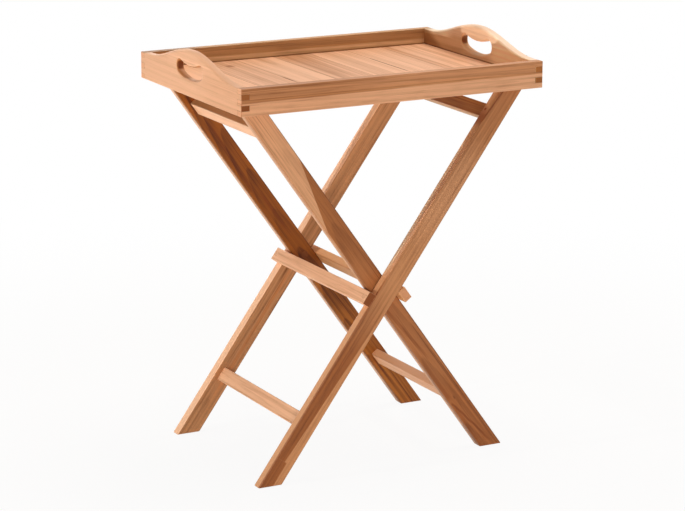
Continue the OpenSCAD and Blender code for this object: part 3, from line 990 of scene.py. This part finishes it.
def makePlugTree():
    tree, ids, given = geometryTree("plugs", {"Radius": "Float", "Length": "Float", "Chamfer": "Float",
        "Sides": "Int", "Axis": "Vector", "Material": "Material"})
    disc = out(tree, "GeometryNodeMeshCircle",
        {"Vertices": given["Sides"], "Radius": given["Radius"]}, fill_type="NGON")
    straight = minus(tree, given["Length"], given["Chamfer"])
    body = addNode(tree, "GeometryNodeExtrudeMesh", {"Mesh": disc, "Offset Scale": straight}, mode="FACES")
    tip = addNode(tree, "GeometryNodeExtrudeMesh", {"Mesh": body.outputs["Mesh"],
        "Selection": body.outputs["Top"], "Offset Scale": given["Chamfer"]}, mode="FACES")
    topSize = calc(tree, "DIVIDE", minus(tree, given["Radius"], given["Chamfer"]), given["Radius"])
    chamfered = out(tree, "GeometryNodeScaleElements",
        {"Geometry": tip.outputs["Mesh"], "Selection": tip.outputs["Top"], "Scale": topSize})
    under = out(tree, "GeometryNodeFlipFaces", {"Mesh": disc})
    whole = tree.nodes.new("GeometryNodeJoinGeometry")
    for part in (chamfered, under):
        tree.links.new(part, whole.inputs[0])
    closed = out(tree, "GeometryNodeMergeByDistance", {"Geometry": whole.outputs[0], "Distance": mergeReach})
    aim = out(tree, "FunctionNodeAlignRotationToVector", {"Vector": given["Axis"]}, axis="Z")
    placed = out(tree, "GeometryNodeInstanceOnPoints",
        {"Points": given["Geometry"], "Instance": closed, "Rotation": aim})
    endTree(tree, placed, given["Material"])
    return tree, ids


plugTree, plugIds = makePlugTree()


# The rounds in a node: the middle of each one's inner end, its length and its radius
def roundParts(node, axis):
    found = []
    for side in (-1, 1):
        points = [v.co for v in nodes[node].data.vertices if v.co.y * side > 0]
        if not points:
            continue
        depths = [p.dot(axis) for p in points]
        flat = [p - axis * p.dot(axis) for p in points]
        centre = sum(flat, Vector()) / len(flat)
        radius = max((p - centre).length for p in flat)
        found.append((centre + axis * min(depths), max(depths) - min(depths), radius))
    return found


def makePlugs(name, piece):
    parts = []
    for node, axis in piece["rounds"]:
        parts += [(axis, *part) for part in roundParts(node, axis)]
    material = teakMaterial(name, piece["axesOf"], {**plugTeak, **piece["look"]})
    made = []
    for axis in {tuple(p[0]) for p in parts}:
        mine = [p for p in parts if tuple(p[0]) == axis]
        start = bpy.data.meshes.new("plugPlaces")
        start.from_pydata([p[1] for p in mine], [], [])
        values = {"Radius": mine[0][3], "Length": mine[0][2], "Chamfer": plugs["chamfer"],
            "Sides": plugs["sides"], "Axis": axis, "Material": material}
        made.append(grow(name, start, plugTree, plugIds, values))
    result = joinMeshes(name, made)
    finishPiece(result, piece["body"], "teak_plug", material, *[node for node, axis in piece["rounds"]])


def joinMeshes(name, parts):
    mesh = bmesh.new()
    for part in parts:
        mesh.from_mesh(part.data)
        bpy.data.objects.remove(part)
    data = bpy.data.meshes.new(name)
    mesh.to_mesh(data)
    mesh.free()
    return addObject(name, data)


def outwardOf(node):  # square to a stick's wide face, on the side that the photograph shows
    return stickAxes(node)[1].col[2].copy()


acrossY = Vector((0, 1, 0))


def inRail(node, rail):  # rounds let into a rail's wide face
    return {"rounds": [(node, outwardOf(rail))], "axesOf": rail, "body": rail[:5] + "_frame"}


pegTeak = {"Pale": "a4562e", "Brown": "7c3c1e"}
outerBarPlugs = {
    **inRail("outer_bar_plugs", "outer_stop_bar"),
    "look": {"Pale": "f0bc94", "Brown": "c48e66", "Seed": 60.0},
}
innerBarPlugs = {
    **inRail("inner_bar_plugs", "inner_stop_bar"),
    "look": {"Pale": "e5ac7a", "Brown": "bb8254", "Seed": 63.0},
}
outerRailPegs = {
    **inRail("outer_rail_pegs", "outer_top_rail"),
    "look": {**pegTeak, "Seed": 66.0},
}
innerRailPegs = {
    **inRail("inner_rail_pegs", "inner_top_rail"),
    "look": {**pegTeak, "Seed": 69.0},
}
pivotPlugs = {
    "rounds": [("front_pivot_plug", acrossY), ("rear_pivot_plug", -acrossY)],
    "axesOf": "inner_front_leg", "body": "inner_frame",
    "look": {"Seed": 72.0, "Pale": "8f5324", "Brown": "5c2b0c"},
}
makePlugs("outerBarPlugs", outerBarPlugs)
makePlugs("innerBarPlugs", innerBarPlugs)
makePlugs("outerRailPegs", outerRailPegs)
makePlugs("innerRailPegs", innerRailPegs)
makePlugs("pivotPlugs", pivotPlugs)
print("plugs and pegs made")

# Hardware keeps its CAD shape, because the wood hides it
metals = {"dark": 0.86, "roughSpread": 0.18, "relief": 0.3, "reliefDepth": 0.00005}


def metalMaterial(name, colour, rough, grain):
    made, tree, shader = startMaterial(name)
    shader["Metallic"].default_value = 1.0
    at = addNode(tree, "ShaderNodeTexCoord").outputs["Object"]
    brushed = stretchedNoise(tree, at, grain, 3.0, 0.6)
    darker = (*(c * metals["dark"] for c in colour[:3]), 1)
    tone = mixColour(tree, brushed, darker, colour)
    wire(tree, shader["Base Color"], tone)
    wire(tree, shader["Roughness"], timesPlus(tree, brushed, metals["roughSpread"], rough))
    wire(tree, shader["Normal"], relief(tree, brushed, metals["relief"], metals["reliefDepth"]))
    return made


steel = metalMaterial("steel", paint("b9bcc0"), 0.26, (2500, 60, 2500))
brass = metalMaterial("brass", paint("c49a52"), 0.3, (2200, 80, 2200))
hardware = {
    "front_pivot_bolt": steel, "rear_pivot_bolt": steel,
    "front_pivot_washer": steel, "rear_pivot_washer": steel,
    "front_pivot_insert": brass, "rear_pivot_insert": brass,
    "outer_bar_screws": brass, "inner_bar_screws": brass,
}
for node, metal in hardware.items():
    nodes[node].data.materials.clear()
    nodes[node].data.materials.append(metal)
print("hardware finished")

# Stage: a white floor and world, a small lamp low on the left, and soft lamps above and around
stage = {
    "floorHalf": 9.0,
    "floorDrop": 0.0003,
    "glowReach": (0.6, 2.0),  # the floor turns from a little shaded to plain white between these distances
    "glowShare": (0.92, 1.0),
    "worldColour": (1.0, 0.9, 0.8, 1),
    "worldLevel": 0.2,
    "floorColour": (0.86, 0.83, 0.8, 1),
    "floorRoughness": 0.9,
    "lampAim": (0, 0, 0.5),
}
lamps = {
    "key": {"place": (-2.5, 0.04, 0.655), "size": 0.008, "power": 98.0, "colour": (1.0, 1.0, 1.0)},
    "top": {"place": (0.5, 0.1, 2.8), "size": 1.4, "power": 40.0, "colour": (1.0, 0.95, 0.9)},
    "front": {"place": (-1.1, -3.0, 0.5), "size": 0.6, "power": 37.0, "colour": (1.0, 0.86, 0.72)},
    "rear": {"place": (0.4, 3.2, 0.6), "size": 1.4, "power": 38.0, "colour": (1.0, 0.9, 0.8)},
    "right": {"place": (3.2, 0.3, 0.6), "size": 1.4, "power": 30.0, "colour": (1.0, 0.9, 0.8)},
}
white = (1, 1, 1, 1)


def seenDirectly(tree):  # 1 where the camera, a reflection or a clear piece looks at it
    path = addNode(tree, "ShaderNodeLightPath").outputs
    mirrored = calc(tree, "MAXIMUM", path["Is Glossy Ray"], path["Is Transmission Ray"])
    return calc(tree, "MAXIMUM", path["Is Camera Ray"], mirrored)


def makeFloor():
    half = stage["floorHalf"]
    data = bpy.data.meshes.new("floor")
    low = -stage["floorDrop"]
    corners = [(-half, -half, low), (half, -half, low), (half, half, low), (-half, half, low)]
    data.from_pydata(corners, [], [(0, 1, 2, 3)])
    floor = addObject("floor", data)
    made, tree, shader = startMaterial("floor")
    shader["Base Color"].default_value = stage["floorColour"]
    shader["Roughness"].default_value = stage["floorRoughness"]
    shader["Specular IOR Level"].default_value = 0.0
    matt = tree.nodes["Principled BSDF"].outputs[0]
    glow = out(tree, "ShaderNodeEmission", {"Color": white, "Strength": 1.0})
    spot = addNode(tree, "ShaderNodeTexCoord").outputs["Object"]
    glowShare = fade(tree, vectorCalc(tree, "LENGTH", spot), *stage["glowReach"], *stage["glowShare"])
    share = times(tree, seenDirectly(tree), glowShare)
    both = out(tree, "ShaderNodeMixShader", {0: share, 1: matt, 2: glow})
    wire(tree, tree.nodes["Material Output"].inputs["Surface"], both)
    data.materials.append(made)


def makeWorld():
    world = bpy.data.worlds.new("studio")
    scene.world = world
    world.use_nodes = True
    tree = world.node_tree
    tree.nodes.clear()
    soft = out(tree, "ShaderNodeBackground", {"Color": stage["worldColour"], "Strength": stage["worldLevel"]})
    plain = out(tree, "ShaderNodeBackground", {"Color": white, "Strength": 1.0})
    both = out(tree, "ShaderNodeMixShader", {0: seenDirectly(tree), 1: soft, 2: plain})
    addNode(tree, "ShaderNodeOutputWorld", {"Surface": both})


def makeLamps():
    for name, lamp in lamps.items():
        data = bpy.data.lights.new(name, "POINT" if name == "key" else "AREA")
        if name == "key":
            data.shadow_soft_size = lamp["size"]
        else:
            data.shape = "SQUARE"
            data.size = lamp["size"]
        data.energy = lamp["power"]
        data.color = lamp["colour"]
        made = addObject(name, data)
        made.location = lamp["place"]
        made.rotation_mode = "QUATERNION"
        made.rotation_quaternion = (Vector(stage["lampAim"]) - made.location).to_track_quat("-Z", "Y")
        made.visible_camera = False


makeFloor()
makeWorld()
makeLamps()
print("stage set")
